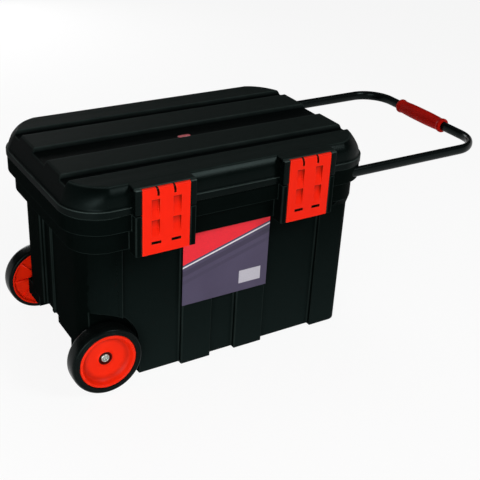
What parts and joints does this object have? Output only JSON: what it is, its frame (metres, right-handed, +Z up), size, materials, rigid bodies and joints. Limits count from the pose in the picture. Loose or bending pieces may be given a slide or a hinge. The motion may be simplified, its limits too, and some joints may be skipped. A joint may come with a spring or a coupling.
{
  "type": "wheeled tool chest",
  "caption": "Black plastic tool chest with a ribbed hinged lid, orange flap latches, two wheels at one end and a telescoping pull handle with a red grip.",
  "frame": {"origin": "underside of the tub on the floor, under the middle of the lid", "axes": "+X towards the handle end, -Y towards the latches, +Z up"},
  "size_m": [0.909, 0.3995, 0.395],
  "materials": {
    "black_plastic": "fine grain, satin",
    "orange_plastic": "satin",
    "red_grip": "satin",
    "steel": "zinc plated",
    "tyre_rubber": "matte",
    "black_coated_tube": "semi gloss",
    "printed_label": "printed film"
  },
  "bodies": {
    "root": {"tub": "black_plastic", "hinge_pin_left": "steel", "hinge_pin_right": "steel", "axle": "steel", "guide_screws": "steel", "front_label": "printed_label", "arm_guide_inner_front": "black_plastic", "arm_guide_inner_back": "black_plastic", "arm_guide_outer_front": "black_plastic", "arm_guide_outer_back": "black_plastic", "axle_cap_front": "steel", "axle_cap_back": "steel", "axle_spacer_front": "black_plastic", "axle_spacer_back": "black_plastic"},
    "lid_cover": {"lid": "black_plastic", "latch_pin_left": "steel", "latch_pin_right": "steel", "lid_badge": "printed_label"},
    "left_latch": {"latch_left": "orange_plastic"},
    "right_latch": {"latch_right": "orange_plastic"},
    "pull_handle": {"handle_tube": "black_coated_tube", "handle_grip": "red_grip", "arm_shoe_front": "black_plastic", "arm_shoe_back": "black_plastic"},
    "front_wheel": {"wheel_hub_front": "orange_plastic", "tyre_front": "tyre_rubber"},
    "back_wheel": {"wheel_hub_back": "orange_plastic", "tyre_back": "tyre_rubber"}
  },
  "joints": [
    {"name": "lid_hinge", "type": "hinge", "parent": "root", "child": "lid_cover", "pos_m": [0, 0.1945, 0.346], "axis": [-1, 0, 0], "range_deg": [0, 100]},
    {"name": "left_latch_hinge", "type": "hinge", "parent": "lid_cover", "child": "left_latch", "pos_m": [-0.142, -0.1955, 0.389], "axis": [-1, 0, 0], "range_deg": [0, 110]},
    {"name": "right_latch_hinge", "type": "hinge", "parent": "lid_cover", "child": "right_latch", "pos_m": [0.142, -0.1955, 0.389], "axis": [-1, 0, 0], "range_deg": [0, 110]},
    {"name": "handle_slide", "type": "slide", "parent": "root", "child": "pull_handle", "axis": [1, 0, 0], "range_m": [-0.25, 0]},
    {"name": "front_wheel_axle", "type": "hinge", "parent": "root", "child": "front_wheel", "pos_m": [-0.241, -0.163, 0.066], "axis": [0, 1, 0], "continuous": true},
    {"name": "back_wheel_axle", "type": "hinge", "parent": "root", "child": "back_wheel", "pos_m": [-0.241, 0.163, 0.066], "axis": [0, 1, 0], "continuous": true}
  ]
}
